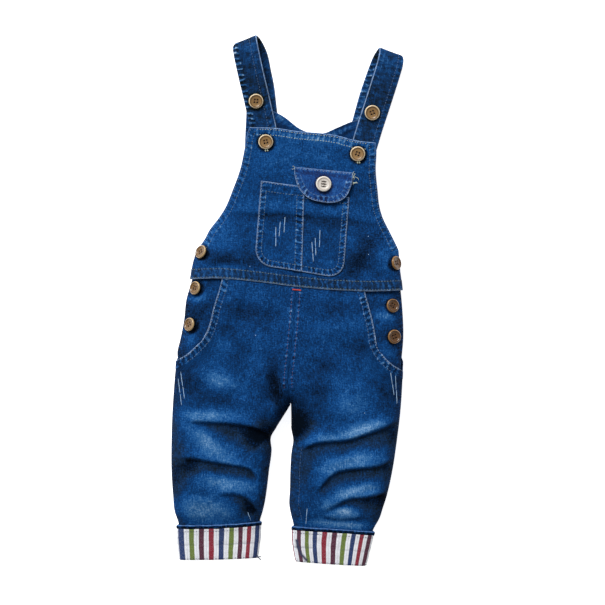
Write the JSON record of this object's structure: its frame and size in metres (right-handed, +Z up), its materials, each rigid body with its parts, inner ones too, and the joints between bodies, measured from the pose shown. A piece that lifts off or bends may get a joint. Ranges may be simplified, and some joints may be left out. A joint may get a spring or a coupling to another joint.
{
  "type": "kids dungarees",
  "caption": "Small child's denim dungarees lying flat, front up, with a buttoned bib and straps, a bib pocket with a flap, buttoned sides and turned-up striped cuffs.",
  "frame": {"origin": "under the centre of the garment's box, on the surface that it lies on", "axes": "+Z up out of the garment's front, +Y from the leg ends towards the shoulder straps, +X towards the wearer's left"},
  "size_m": [0.2744, 0.626, 0.0352],
  "materials": {
    "denim": "washed, matte",
    "striped_cotton": "woven stripes, matte",
    "brown_button": "satin, coconut shell",
    "pale_button": "satin, pale coconut shell"
  },
  "bodies": {
    "root": {"back_panel": "denim", "bib": "denim", "waistband": "denim", "back_leg_right": "denim", "front_leg_right": "denim", "hip_facing_right": "denim", "cuff_right": "striped_cotton", "cuff_edge_right": "denim", "back_leg_left": "denim", "front_leg_left": "denim", "hip_facing_left": "denim", "cuff_left": "striped_cotton", "cuff_edge_left": "denim", "strap_right": "denim", "strap_left": "denim", "bib_pocket_right": "denim", "bib_pocket_left": "denim", "pocket_flap": "denim", "button_bib_right": "brown_button", "button_bib_left": "brown_button", "button_armhole_right": "brown_button", "button_armhole_left": "brown_button", "button_hip_upper_right": "brown_button", "button_hip_lower_right": "brown_button", "button_hip_upper_left": "brown_button", "button_hip_lower_left": "brown_button", "button_flap": "pale_button", "button_strap_right": "brown_button", "button_strap_left": "brown_button"}
  },
  "joints": []
}
